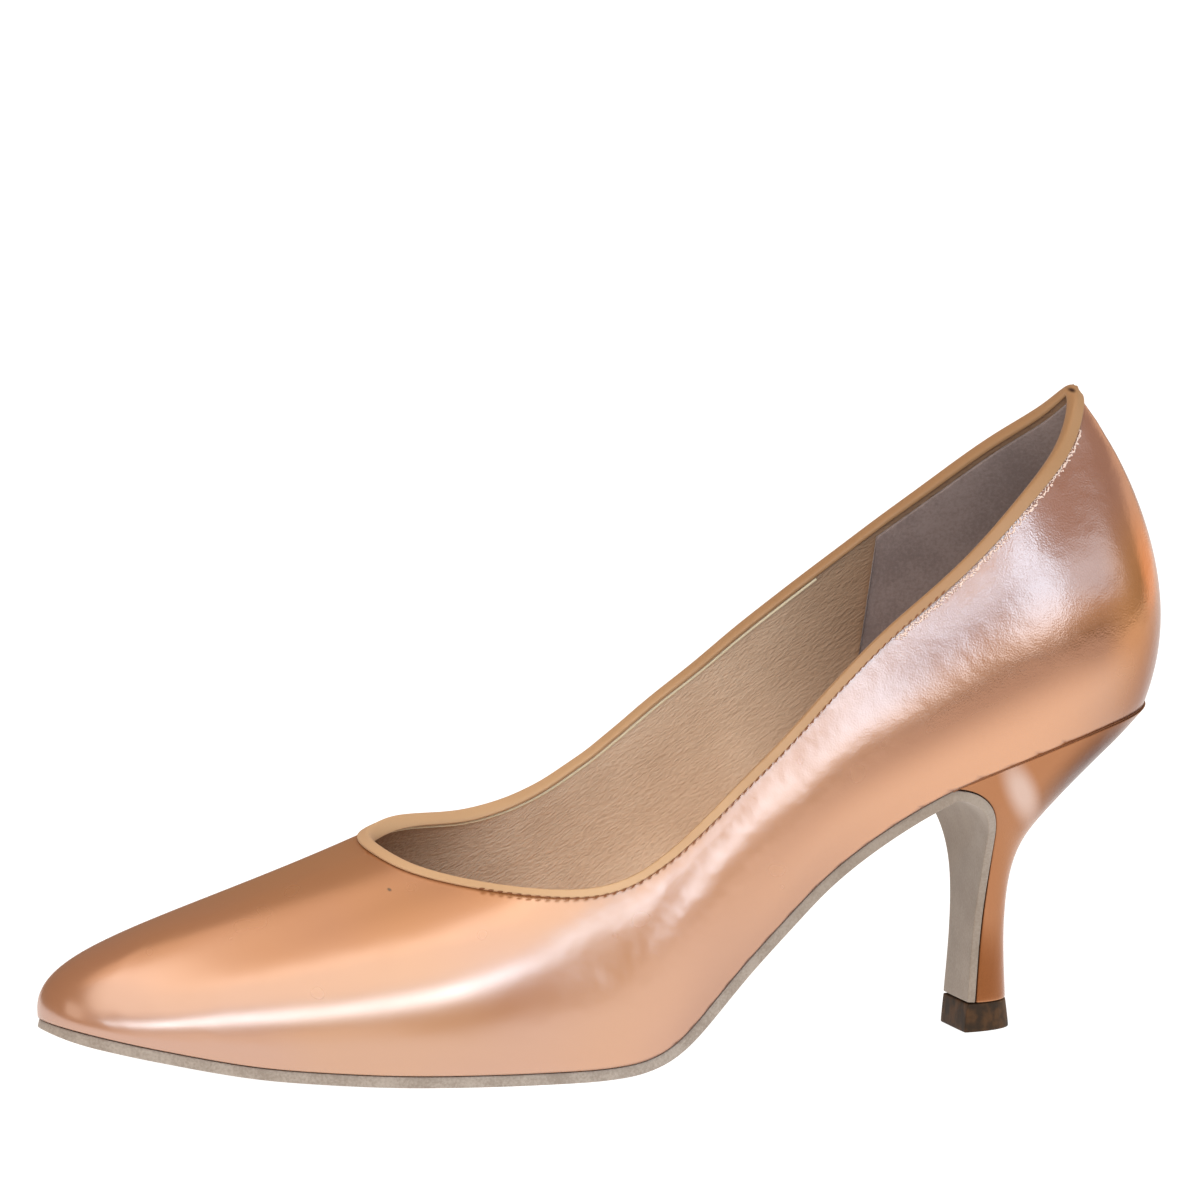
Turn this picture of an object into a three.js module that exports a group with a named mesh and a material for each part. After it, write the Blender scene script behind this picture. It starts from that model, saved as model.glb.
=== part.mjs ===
// Ballroom dance shoe: a left satin court pump with a flared heel, in millimetres.
// The toe points to -X, the outer (lateral) side of the foot faces -Y, and +Z is up.
// The upper is one closed ring of ribs. Each rib climbs from the feather line, where the upper
// meets the sole, to the topline. Every other piece is cut from the same ribs or the same bottom line.
import * as THREE from "three";

// Driving dimensions. The section tables below were read at the TABLE sizes and are scaled from them.
const SHOE_LENGTH = 244;
const BALL_WIDTH = 76;
const HEEL_HEIGHT = 68;
const TOE_SPRING = 12;
const COLLAR_HEIGHT = 69;
const TABLE = { length: 244, width: 76, heel: 68, spring: 12, collar: 69 };

const UPPER_WALL = 1.6;
const SOLE_THICKNESS = 2.3;
const TIP_THICKNESS = 1.4;
const INSOLE_THICKNESS = 2.2;
const GAP = 0.3;
const SOLE_INSET = 0.5;

const BINDING_WIDTH = 2.3;
const BINDING_INSIDE = 0.6;
const BINDING_LEATHER = 0.5;
const BINDING_ROLL = 0.7;
// Where the roll of the binding turns over, as shares of its height and of its stand-off.
const ROLL_SHOULDER = [0.75, 0.4];
const GRIP_SUEDE = 0.8;
const SEAT_OVERHANG = 0.4;
const TOP_PIECE_HEIGHT = 6;

const RIBS_PER_ROW = 3;
const STEPS_UP_RIB = 13;
// Above 1, the steps crowd toward the foot of the rib, where it bends most.
const RIB_CROWDING = 1.15;
const STEPS_ACROSS = 4;
const SPLINE_PASSES = 60;
const HEEL_STEPS = 28;

// Where pieces begin and end, counted in rows of the section tables.
const TIP_ROW = 0.25;
const SKIVED_ROWS = 2;
const SEAT_ROWS = 4.28;
const GRIP_TOP_ROWS = 3.9;
const GRIP_FOOT_ROWS = 4.5;
const GRIP_RIBS = 24;
const GRIP_STEPS = 6;
const GRIP_TOP = 2;
const GRIP_FOOT = 9;

const alongScale = SHOE_LENGTH / TABLE.length;
const acrossScale = BALL_WIDTH / TABLE.width;
const collarScale = COLLAR_HEIGHT / TABLE.collar;

// The bottom line: height of the feather line over the floor, from the toe to the back of the seat.
// The two equal rows are the tread, where the sole lies flat on the floor.
const TREAD_LEVEL = SOLE_THICKNESS + GAP;
const BOTTOM_LINE = [
  { along: -124, lift: 13.4 },
  { along: -100, lift: 7.9 },
  { along: -75, lift: 3.8 },
  { along: -48, lift: TREAD_LEVEL },
  { along: -14, lift: TREAD_LEVEL },
  { along: -3, lift: 3.4 },
  { along: 5, lift: 6.6 },
  { along: 12, lift: 12.8 },
  { along: 20, lift: 20.7 },
  { along: 30, lift: 29.5 },
  { along: 40, lift: 38.2 },
  { along: 50, lift: 44.8 },
  { along: 60, lift: 50.3 },
  { along: 70, lift: 54.8 },
  { along: 80, lift: 58 },
  { along: 92, lift: 61.8 },
  { along: 106, lift: 65.5 },
  { along: 121, lift: 68.2 },
];

// One row per rib station. foot: where the rib stands on the feather line. top: where it ends on the
// topline, tall above the bottom line there. rise and swell: how far the rib first runs up and out.
// reach and drop: how far back toward the foot, and how far down, the last stretch comes from. lean:
// how far out it comes from besides, so that the quarter turns in toward the topline.
const COLUMNS = ["footX", "footY", "topX", "topY", "tall", "rise", "swell", "reach", "drop", "lean"];
const TOE_ROW = [-119.4, 3.6, -48.2, 2.5, 43, 14.5, 2.8, 0.62, 16.2, 0];
const LATERAL_ROWS = [
  [-117.8, -2.6, -47.6, -4.2, 42, 11.5, 2.5, 0.62, 15.2, 0],
  [-112.8, -8, -44.6, -10.3, 40.2, 7, 2, 0.6, 14.8, 0],
  [-101.5, -14.3, -39.3, -15.9, 38.5, 8.5, 2, 0.58, 14.3, 0],
  [-84.5, -21.2, -32, -22.5, 37.2, 11.5, 2.5, 0.58, 12.5, 0],
  [-63, -29, -23, -28.5, 36.4, 13, 3, 0.55, 11.5, 1],
  [-40, -36, -13.5, -32, 36.4, 14, 2.5, 0.45, 11, 1.5],
  [-19, -38.2, -4.5, -33, 37.7, 14.5, 2.5, 0.4, 11, 2],
  [-3, -37.5, 5, -32.5, 39.5, 15, 3, 0.35, 9.5, 3.5],
  [9, -35.4, 15, -31, 38.1, 15, 3, 0.32, 9, 4],
  [22, -32.3, 26.5, -29, 37, 15, 3, 0.3, 10, 4],
  [38, -29, 40, -26, 37, 14, 3.5, 0.3, 12.5, 5],
  [56, -26.8, 55, -22.5, 39.9, 14, 3, 0.3, 14, 5.5],
  [76, -25.6, 70, -20, 43.4, 16, 3, 0.46, 15, 5.5],
  [95, -24, 84, -17.5, 51, 19, 4, 0.84, 17, 4],
  [110, -18, 95, -12.3, 57, 21, 6.8, 1.05, 18.5, 1.2],
  [117.3, -9.3, 102, -6, 62.6, 21, 8.4, 1.06, 18.5, 0.2],
];
const MEDIAL_ROWS = [
  [-118, 9.8, -46.8, 8.5, 43.8, 14.5, 3, 0.62, 16.4, 0],
  [-113.3, 14.8, -43, 12.3, 44.8, 14.5, 3, 0.6, 16.8, 0],
  [-102, 21, -37.5, 16, 45.3, 15, 3, 0.58, 16.6, 0],
  [-84.5, 28, -30, 19.6, 44.9, 15.5, 3.5, 0.55, 15.5, 0],
  [-63, 33.3, -21.5, 22.8, 44.6, 16, 4, 0.5, 14, 0],
  [-41, 36, -13, 25, 45.8, 16, 4, 0.42, 15, 0.5],
  [-21, 35, -5, 26.4, 47.8, 16, 4.2, 0.34, 15, 1],
  [-5, 32.2, 4, 27.2, 49.7, 16, 4.6, 0.28, 15, 1.6],
  [8, 28.6, 14.5, 27.3, 47.8, 16, 5.2, 0.2, 15, 2.4],
  [21, 25.6, 26, 27.2, 45.6, 16, 5.8, 0.12, 15, 3.2],
  [37, 23.8, 39, 26.9, 44, 16.5, 6, 0.1, 15.5, 3.8],
  [54, 23.6, 53, 26, 45, 17.5, 5.4, 0.15, 16, 4.4],
  [75, 24.4, 67.5, 24.2, 48.2, 19, 4.6, 0.45, 17, 4.6],
  [95, 24, 81.5, 19.8, 54.3, 20, 4.6, 0.85, 18, 3],
  [110, 18, 93, 12.8, 60.5, 21, 6.8, 1.05, 18.5, 1.2],
  [117.3, 9.3, 101, 5.8, 65.1, 21, 8.4, 1.06, 18.5, 0.2],
];
const BACK_ROW = [119.6, 0, 104.9, 0, 68.6, 21, 8.8, 1.06, 19, 0];

// Rows of the heel are read up from the joint with the top piece, and scaled like the rest.
const HEEL_JOINT = TOP_PIECE_HEIGHT + GAP;
const heelScale = HEEL_HEIGHT / TABLE.heel;
const heelRow = ({ x, up, half, ...rest }) => ({
  x: x * alongScale,
  z: HEEL_JOINT + up * heelScale,
  half: half * acrossScale,
  ...rest,
});

// The outsole leaves the upper here and bends down the front of the heel (the breast).
const SOLE_LEAVES_ROW = 12.68;
const BREAST = [
  { x: 74.5, up: 47.2, half: 24.4, thick: 2.2 },
  { x: 78, up: 45, half: 23, thick: 2 },
  { x: 80.4, up: 42, half: 20.8, thick: 1.9 },
  { x: 81.9, up: 38.1, half: 17.2, thick: 1.7 },
  { x: 82.7, up: 33.3, half: 12.8, thick: 1.6 },
  { x: 82.9, up: 26.7, half: 9.4, thick: 1.6 },
  { x: 82.3, up: 18.7, half: 7.5, thick: 1.6 },
  { x: 81.7, up: 10.7, half: 7, thick: 1.6 },
  { x: 80.8, up: 0, half: 7.5, thick: 1.6 },
].map(heelRow);

// Back edge of the heel, matched row by row with the breast rows. round: 0 keeps the outline of the
// seat, 1 is a half ellipse.
const HEEL_BACK = [
  { x: 115.6, up: 57, half: 24.4, round: 0.15 },
  { x: 109.6, up: 51.9, half: 22.8, round: 0.35 },
  { x: 102.4, up: 45.2, half: 20.3, round: 0.6 },
  { x: 96.2, up: 38.8, half: 16.6, round: 0.8 },
  { x: 92.2, up: 33.5, half: 12.6, round: 1 },
  { x: 90, up: 26.7, half: 9.4, round: 1 },
  { x: 89.3, up: 18.7, half: 7.6, round: 1 },
  { x: 89.1, up: 10.7, half: 7.1, round: 1 },
  { x: 89.7, up: 0, half: 7.6, round: 1 },
].map(heelRow);
const TOP_PIECE = [
  { front: 78.5, back: 90.6, half: 7.4, z: 0 },
  { front: 78.8, back: 90.2, half: 7.4, z: TOP_PIECE_HEIGHT / 2 },
  { front: 79.2, back: 89.8, half: 7.6, z: TOP_PIECE_HEIGHT },
];

const mix = (a, b, t) => a + (b - a) * t;

// Cubic through a table that never overshoots its rows, so equal rows stay exactly level.
function levelCurve(knots) {
  const steps = knots.slice(1).map((knot, i) => (knot.y - knots[i].y) / (knot.x - knots[i].x));
  const slopes = knots.map((_, i) => {
    const before = steps[Math.max(i - 1, 0)];
    const after = steps[Math.min(i, steps.length - 1)];
    return before * after <= 0 ? 0 : (2 * before * after) / (before + after);
  });
  return (x) => {
    let i = knots.findIndex((knot) => knot.x > x) - 1;
    if (i === -2) i = knots.length - 2;
    i = Math.max(i, 0);
    const width = knots[i + 1].x - knots[i].x;
    const t = (x - knots[i].x) / width;
    const fromStart = (1 + 2 * t) * (1 - t) ** 2 * knots[i].y + t * (1 - t) ** 2 * width * slopes[i];
    const fromEnd = t * t * (3 - 2 * t) * knots[i + 1].y + t * t * (t - 1) * width * slopes[i + 1];
    return fromStart + fromEnd;
  };
}

const bottomLine = levelCurve(
  BOTTOM_LINE.map(({ along, lift }) => {
    const growth = along < 0 ? TOE_SPRING / TABLE.spring : heelScale;
    return { x: along * alongScale, y: TREAD_LEVEL + (lift - TREAD_LEVEL) * growth };
  }),
);

// Smooth closed curve through the values, one value per row: a cubic B-spline whose control values
// are pulled until the curve passes through every row.
function closedSpline(values) {
  const count = values.length;
  const controls = values.slice();
  for (let pass = 0; pass < SPLINE_PASSES; pass++) {
    for (let i = 0; i < count; i++) {
      const before = controls[(i + count - 1) % count];
      const after = controls[(i + 1) % count];
      controls[i] += (6 * values[i] - before - 4 * controls[i] - after) / 4;
    }
  }
  return (u) => {
    const row = Math.floor(u);
    const t = u - row;
    const weights = [(1 - t) ** 3, 3 * t ** 3 - 6 * t * t + 4, 1 + 3 * t + 3 * t * t - 3 * t ** 3, t ** 3];
    return weights.reduce((sum, w, k) => sum + (w / 6) * controls[(row - 1 + k + 2 * count) % count], 0);
  };
}

// Rows in ring order: back, lateral side forward, toe, medial side back.
const RING = [BACK_ROW, ...LATERAL_ROWS.slice().reverse(), TOE_ROW, ...MEDIAL_ROWS];
const TOE_INDEX = LATERAL_ROWS.length + 1;
const column = Object.fromEntries(COLUMNS.map((name, k) => [name, closedSpline(RING.map((row) => row[k]))]));

function footPoint(u) {
  const x = column.footX(u) * alongScale;
  return new THREE.Vector3(x, column.footY(u) * acrossScale, bottomLine(x));
}

function topPoint(u) {
  const x = column.topX(u) * alongScale;
  const height = bottomLine(x) + column.tall(u) * collarScale;
  return new THREE.Vector3(x, column.topY(u) * acrossScale, height);
}

// Level direction that points out of the shoe at a place on the feather line.
function outward(u) {
  const step = 0.02;
  const along = footPoint(u + step).sub(footPoint(u - step));
  return new THREE.Vector3(-along.y, along.x, 0).normalize();
}

function rib(u) {
  const foot = footPoint(u);
  const top = topPoint(u);
  const above = foot.clone().addScaledVector(outward(u), column.swell(u));
  above.z += column.rise(u);
  const below = top.clone().lerp(foot, column.reach(u)).addScaledVector(outward(u), column.lean(u));
  below.z = top.z - column.drop(u);
  return new THREE.CubicBezierCurve3(foot, above, below, top);
}

// Direction out of the shoe, square to the upper, at height v up the rib at u.
function square(u, v) {
  const step = 0.01;
  const low = Math.max(v - step, 0);
  const high = Math.min(v + step, 1);
  const upward = rib(u).getPoint(high).sub(rib(u).getPoint(low));
  const around = rib(u + step).getPoint(v).sub(rib(u - step).getPoint(v));
  const direction = upward.cross(around);
  if (v === 0) direction.z = 0;
  return direction.normalize();
}

function onUpper(u, v, out) {
  return rib(u).getPoint(v).addScaledVector(square(u, v), out);
}

// A place measured down from the topline; above the topline the rib is carried straight on.
function belowTopline(u, down, out) {
  const curve = rib(u);
  if (down <= 0) {
    const past = curve.getPoint(1).addScaledVector(curve.getTangent(1), -down);
    return past.addScaledVector(square(u, 1), out);
  }
  const v = curve.getUtoTmapping(0, curve.getLength() - down);
  return onUpper(u, v, out);
}

// Triangles between neighbouring loops. A ring joins its last loop to its first; a stack is capped.
function skin(loops, ring) {
  const size = loops[0].length;
  const points = loops.flat();
  const faces = [];
  const spans = ring ? loops.length : loops.length - 1;
  for (let i = 0; i < spans; i++) {
    const here = i * size;
    const next = ((i + 1) % loops.length) * size;
    for (let j = 0; j < size; j++) {
      const k = (j + 1) % size;
      faces.push([here + j, next + j, next + k], [here + j, next + k, here + k]);
    }
  }
  if (!ring) {
    const last = (loops.length - 1) * size;
    for (const [start, flip] of [[0, false], [last, true]]) {
      const middle = new THREE.Vector3();
      for (let j = 0; j < size; j++) middle.addScaledVector(points[start + j], 1 / size);
      points.push(middle);
      for (let j = 0; j < size; j++) {
        const k = (j + 1) % size;
        const edge = flip ? [start + k, start + j] : [start + j, start + k];
        faces.push([points.length - 1, ...edge]);
      }
    }
  }
  let volume = 0;
  for (const [a, b, c] of faces) volume += points[a].dot(points[b].clone().cross(points[c]));
  if (volume < 0) faces.forEach((face) => face.reverse());
  const geometry = new THREE.BufferGeometry().setFromPoints(points);
  geometry.setIndex(faces.flat());
  return geometry;
}

const upTo = (count, make) => Array.from({ length: count + 1 }, (_, i) => make(i / count));
const ringPlaces = Array.from({ length: RING.length * RIBS_PER_ROW }, (_, i) => i / RIBS_PER_ROW);

function upper() {
  const heights = upTo(STEPS_UP_RIB, (t) => t ** RIB_CROWDING);
  const loops = ringPlaces.map((u) => {
    const outside = heights.map((v) => onUpper(u, v, 0));
    const inside = heights.map((v) => onUpper(u, v, -UPPER_WALL)).reverse();
    return [...outside, ...inside];
  });
  return skin(loops, true);
}

function toplineBinding() {
  const face = GAP + BINDING_LEATHER;
  const [up, over] = ROLL_SHOULDER;
  const profile = [
    [BINDING_WIDTH, GAP],
    [BINDING_WIDTH, face],
    [BINDING_WIDTH / 2, face],
    [0, face],
    [-up * BINDING_ROLL, over * face],
    [-BINDING_ROLL, -UPPER_WALL / 2],
    [-up * BINDING_ROLL, -UPPER_WALL - over * face],
    [0, -UPPER_WALL - face],
    [BINDING_INSIDE, -UPPER_WALL - face],
    [BINDING_INSIDE, -UPPER_WALL - GAP],
    [-GAP, -UPPER_WALL - GAP],
    [-GAP, GAP],
  ];
  return skin(ringPlaces.map((u) => profile.map(([down, out]) => belowTopline(u, down, out))), true);
}

function heelGrip() {
  const heights = upTo(GRIP_STEPS, (t) => t);
  const back = -UPPER_WALL - GAP;
  const loops = upTo(GRIP_RIBS, (t) => mix(-1, 1, t)).map((turn) => {
    const places = heights.map((t) => {
      const u = turn * mix(GRIP_TOP_ROWS, GRIP_FOOT_ROWS, t);
      return { u, down: mix(GRIP_TOP, rib(u).getLength() - GRIP_FOOT, t) };
    });
    const glued = places.map(({ u, down }) => belowTopline(u, down, back));
    const worn = places.map(({ u, down }) => belowTopline(u, down, back - GRIP_SUEDE)).reverse();
    return [...glued, ...worn];
  });
  return skin(loops, false);
}

// Row numbers from one place to another, stopping at every rib on the way.
function ribRows(from, to) {
  const rows = [from];
  for (let k = Math.ceil(from * RIBS_PER_ROW); k < to * RIBS_PER_ROW; k++) rows.push(k / RIBS_PER_ROW);
  return [...rows, to];
}

// Points straight across the shoe between the lateral and the medial side of one row.
function acrossRow(row, inset) {
  const lateral = onUpper(TOE_INDEX - row, 0, -inset);
  const medial = onUpper(TOE_INDEX + row, 0, -inset);
  return upTo(STEPS_ACROSS, (t) => {
    const point = lateral.clone().lerp(medial, t);
    point.z = bottomLine(point.x);
    return point;
  });
}

function insole() {
  const loops = ribRows(TIP_ROW, TOE_INDEX - TIP_ROW).map((row) => {
    const under = acrossRow(row, UPPER_WALL + GAP);
    const over = under.map((point) => point.clone().setZ(point.z + INSOLE_THICKNESS)).reverse();
    return [...under, ...over];
  });
  return skin(loops, false);
}

// Moves a point off the bottom line, square to it, toward the floor.
function underBottomLine(point, depth) {
  const step = 0.5;
  const rise = (bottomLine(point.x + step) - bottomLine(point.x - step)) / (2 * step);
  const down = new THREE.Vector3(rise, 0, -1).normalize();
  return point.clone().addScaledVector(down, depth);
}

// Direction off each breast row toward the toe, square to the path that the rows follow.
function breastFacing(i) {
  const before = BREAST[Math.max(i - 1, 0)];
  const after = BREAST[Math.min(i + 1, BREAST.length - 1)];
  return new THREE.Vector3(after.z - before.z, 0, before.x - after.x).normalize();
}

function breastEdge(i, depth) {
  const { x, z, half } = BREAST[i];
  const facing = breastFacing(i);
  return upTo(STEPS_ACROSS, (t) => new THREE.Vector3(x, mix(-half, half, t), z).addScaledVector(facing, depth));
}

function outsole() {
  const forepart = ribRows(TIP_ROW, SOLE_LEAVES_ROW).map((row) => {
    const feather = acrossRow(row, SOLE_INSET);
    const over = feather.map((point) => underBottomLine(point, GAP));
    const thick = mix(TIP_THICKNESS, SOLE_THICKNESS, Math.min(row / SKIVED_ROWS, 1));
    const under = feather.map((point) => underBottomLine(point, GAP + thick)).reverse();
    return [...over, ...under];
  });
  const breast = BREAST.map((row, i) => [...breastEdge(i, 0), ...breastEdge(i, row.thick).reverse()]);
  return skin([...forepart, ...breast], false);
}

// Top edge of the heel: the feather line round the back, standing out a little behind the upper.
function seatOutline() {
  return upTo(HEEL_STEPS, (t) => {
    const u = mix(SEAT_ROWS, -SEAT_ROWS, t);
    const point = onUpper(u, 0, SEAT_OVERHANG * Math.sin(Math.PI * t));
    return underBottomLine(point, GAP);
  });
}

const halfEllipse = upTo(HEEL_STEPS, (t) => {
  const turn = Math.PI * (t - 0.5);
  return { back: Math.cos(turn), side: Math.sin(turn) };
});

function heel() {
  const seat = seatOutline();
  const front = seat[0];
  const rear = seat[HEEL_STEPS / 2];
  const widest = Math.max(...seat.map((point) => Math.abs(point.y)));
  const seatShape = seat.map((point) => ({
    back: Math.max((point.x - front.x) / (rear.x - front.x), 0),
    side: point.y / widest,
  }));
  const sections = HEEL_BACK.map(({ x, z, half, round }, i) => {
    const start = new THREE.Vector3(BREAST[i].x, 0, BREAST[i].z).addScaledVector(breastFacing(i), -GAP);
    const end = new THREE.Vector3(x, 0, z);
    return halfEllipse.map((curve, k) => {
      const back = mix(seatShape[k].back, curve.back, round);
      const point = start.clone().lerp(end, back);
      point.y = half * mix(seatShape[k].side, curve.side, round);
      return point;
    });
  });
  return skin([seat, ...sections], false);
}

function topPiece() {
  const loops = TOP_PIECE.map(({ front, back, half, z }) =>
    halfEllipse.map((curve) => {
      const x = mix(front, back, curve.back) * alongScale;
      return new THREE.Vector3(x, half * acrossScale * curve.side, z);
    }),
  );
  return skin(loops, false);
}

const SATIN = { color: 0xe3ad8c, roughness: 0.35 };
const PIECES = [
  ["upper", upper(), SATIN],
  ["topline_binding", toplineBinding(), { color: 0xc9a06e, roughness: 0.6 }],
  ["heel_grip", heelGrip(), { color: 0x6e5e5a, roughness: 0.95 }],
  ["insole", insole(), { color: 0xa68c6c, roughness: 0.8 }],
  ["outsole", outsole(), { color: 0xb0a69c, roughness: 0.95 }],
  ["heel", heel(), SATIN],
  ["top_piece", topPiece(), { color: 0x5c4022, roughness: 0.7 }],
];

// The origin is the middle of the bounding box, on the floor.
const box = new THREE.Box3();
for (const [, geometry] of PIECES) {
  geometry.computeBoundingBox();
  box.union(geometry.boundingBox);
}
const middle = box.getCenter(new THREE.Vector3());

const shoe = new THREE.Group();
shoe.name = "ballroom_shoe";
for (const [name, geometry, look] of PIECES) {
  geometry.translate(-middle.x, -middle.y, -box.min.z);
  geometry.computeVertexNormals();
  const mesh = new THREE.Mesh(geometry, new THREE.MeshStandardMaterial(look));
  mesh.name = name;
  shoe.add(mesh);
}

export default shoe;
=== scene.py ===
# %% [markdown]
# # A satin ballroom shoe
#
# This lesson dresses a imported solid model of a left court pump. The solids already have the right
# size and place, so every piece here is either a smoother copy of a solid or a small thing laid on
# it: a lining, a row of stitches, a frayed edge. All lengths are in metres, in the solid's own frame:
# the toe points to -X, the outer side of the foot faces -Y, and the floor is Z = 0.

# %% Load the solid model
import math
import random

import bmesh
import bpy
from mathutils import Matrix, Vector
from mathutils.bvhtree import BVHTree


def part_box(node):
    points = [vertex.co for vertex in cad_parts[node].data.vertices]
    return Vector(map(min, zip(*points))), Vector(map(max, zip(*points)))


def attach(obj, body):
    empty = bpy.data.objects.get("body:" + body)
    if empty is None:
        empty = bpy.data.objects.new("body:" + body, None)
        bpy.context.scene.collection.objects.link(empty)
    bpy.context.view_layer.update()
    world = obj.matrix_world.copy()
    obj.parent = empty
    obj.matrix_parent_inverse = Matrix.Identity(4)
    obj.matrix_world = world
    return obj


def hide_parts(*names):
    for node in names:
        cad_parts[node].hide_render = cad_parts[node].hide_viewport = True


MM = 0.001

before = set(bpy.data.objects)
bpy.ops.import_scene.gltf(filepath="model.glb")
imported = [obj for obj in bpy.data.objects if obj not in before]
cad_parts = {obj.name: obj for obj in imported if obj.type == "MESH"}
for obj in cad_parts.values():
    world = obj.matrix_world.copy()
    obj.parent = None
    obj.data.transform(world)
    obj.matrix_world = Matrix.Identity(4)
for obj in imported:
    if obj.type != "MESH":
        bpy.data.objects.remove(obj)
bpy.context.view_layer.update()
scene = bpy.context.scene
print("solids:", ", ".join(sorted(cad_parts)))

# %% [markdown]
# ## Writing shaders as sums
#
# A finish is a small web of nodes. Wired by hand it is hard to read, so one small class wraps an output
# socket. A wrapped socket understands plus, minus and times, so `1 - mask` adds its Math node by
# itself, and the recipe of a finish reads like a sum.


# %% A wire
class Wire:
    """An output socket that can be added, subtracted and multiplied."""

    def __init__(self, finish, socket):
        self.finish = finish
        self.socket = socket

    def maths(self, operation, first, second):
        return self.finish.node("ShaderNodeMath", {"operation": operation}, {0: first, 1: second})

    def __add__(self, other):
        return self.maths("ADD", self, other)

    def __radd__(self, other):
        return self.maths("ADD", other, self)

    def __sub__(self, other):
        return self.maths("SUBTRACT", self, other)

    def __rsub__(self, other):
        return self.maths("SUBTRACT", other, self)

    def __mul__(self, other):
        return self.maths("MULTIPLY", self, other)

    def __rmul__(self, other):
        return self.maths("MULTIPLY", other, self)

    def __abs__(self):
        return self.maths("ABSOLUTE", self, 0.0)


print("wires can be added, subtracted, multiplied and made positive")

# %% [markdown]
# ## A finish
#
# Each finish is a material with one Principled shader. One method makes any node from its type, its
# settings and its inputs. The other methods are the few recipes that come back on every surface:
# noise, soft bands, ovals, mixed colours and bumps.


# %% A finish
class Finish:
    """A material with a Principled shader. The constants are the same all over the surface."""

    def __init__(self, name, constants):
        self.material = bpy.data.materials.new(name)
        self.material.use_nodes = True
        self.tree = self.material.node_tree
        self.shader = self.tree.nodes["Principled BSDF"]
        for socket, value in constants.items():
            self.shader.inputs[socket].default_value = value
        self.place = self.node("ShaderNodeTexCoord", {}, {}, "Object")

    def node(self, kind, settings, values, output=0):
        node = self.tree.nodes.new(kind)
        for name, value in settings.items():
            setattr(node, name, value)
        for socket, value in values.items():
            if isinstance(value, Wire):
                self.tree.links.new(value.socket, node.inputs[socket])
            else:
                node.inputs[socket].default_value = value
        return Wire(self, node.outputs[output])

    def feed(self, socket, wire):
        self.tree.links.new(wire.socket, self.shader.inputs[socket])

    def drawn_out(self, climb, stretch):
        """Coordinates in which noise is drawn out along a line that climbs towards the heel."""
        values = {"Vector": self.place, "Rotation": (0.0, -climb, 0.0), "Scale": (stretch, 1.0, 1.0)}
        return self.node("ShaderNodeMapping", {"vector_type": "TEXTURE"}, values)

    def noise(self, size, detail=2.0, roughness=0.5, place=None):
        """Cloudy noise whose blotches are about `size` metres across."""
        values = {"Vector": place or self.place, "Scale": 1 / size, "Detail": detail, "Roughness": roughness}
        return self.node("ShaderNodeTexNoise", {}, values)

    def band(self, wire, low, high):
        """0 below low, 1 above high, and smooth between."""
        values = {"Value": wire, "From Min": low, "From Max": high}
        return self.node("ShaderNodeMapRange", {"interpolation_type": "SMOOTHSTEP"}, values)

    def mixed(self, share, first, second):
        """Colour `first` where share is 0 and `second` where it is 1."""
        return self.node("ShaderNodeMix", {"data_type": "RGBA"}, {0: share, 6: first, 7: second}, 2)

    def part(self, wire, axis):
        """One of the three numbers of a vector."""
        return self.node("ShaderNodeSeparateXYZ", {}, {"Vector": wire}, axis)

    def patch(self, middle, climb, length, width, depth=1.0):
        """A soft oval seen from the side: 1 in its middle, 0 from its rim on."""
        values = {"Vector": self.place, "Location": middle, "Rotation": (0.0, -climb, 0.0)}
        values["Scale"] = (length / 2, depth, width / 2)
        oval = self.node("ShaderNodeMapping", {"vector_type": "TEXTURE"}, values)
        away = self.node("ShaderNodeVectorMath", {"operation": "LENGTH"}, {0: oval}, "Value")
        return 1.0 - self.band(away, 0.15, 1.0)

    def bumped(self, heights):
        """Normal from a list of (height wire, height of a full step in metres)."""
        total = None
        for wire, step in heights:
            height = wire * (step / MM)
            total = height if total is None else total + height
        return self.node("ShaderNodeBump", {}, {"Strength": 1.0, "Distance": MM, "Height": total})


print("finishes read Object coordinates, so noise sizes are in metres")

# %% [markdown]
# A colour is easiest to read off a screen, from 0 to 255. Shaders work in linear light, so one helper
# turns the first into the second.


# %% Screen colours
def shade(red, green, blue):
    """A screen colour, 0 to 255, as the linear colour that shaders work in."""

    def linear(value):
        value = value / 255
        return value / 12.92 if value < 0.04045 else ((value + 0.055) / 1.055) ** 2.4

    return (linear(red), linear(green), linear(blue), 1.0)


print("white is", shade(255, 255, 255))

# %% [markdown]
# ## Satin
#
# Duchess satin has long floats of thread that lie flat, so it throws white light back from the window
# and from the table, while the dye shows only where neither is mirrored. The finish is therefore a
# peach-brown dye under a strong, soft, white gloss, which a high index of refraction gives. Where the
# quarter stands upright or turns against its nap, the gloss takes on the dye, as on metal, and a painted
# brown shade lies in the band between the two lights. Towards the back a painted amber reflection lies
# below and a painted dusky shade above, and a painted gold reflection lies round the back itself.
# Slow waves bend the streaks, crinkles feather their edges, and the weave shows on the quarter.

# %% The dyes of the satin, with painted shade and reflections
SATIN_PEACH = shade(188, 126, 74)
SATIN_ROSE = shade(182, 122, 84)
# Amber and gold are painted reflections at the back, dusk and brown are painted shade.
PAINTED_AMBER_REFLECTION = shade(202, 126, 52)
PAINTED_DUSK_SHADE = shade(160, 104, 80)
PAINTED_BROWN_SHADE = shade(130, 72, 30)
PAINTED_GOLD_REFLECTION = shade(222, 148, 74)
HEEL_PEACH = shade(174, 116, 78)
# The heel's painted shade against its nap.
HEEL_PAINTED_NAP_SHADE = shade(172, 116, 76)
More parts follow.
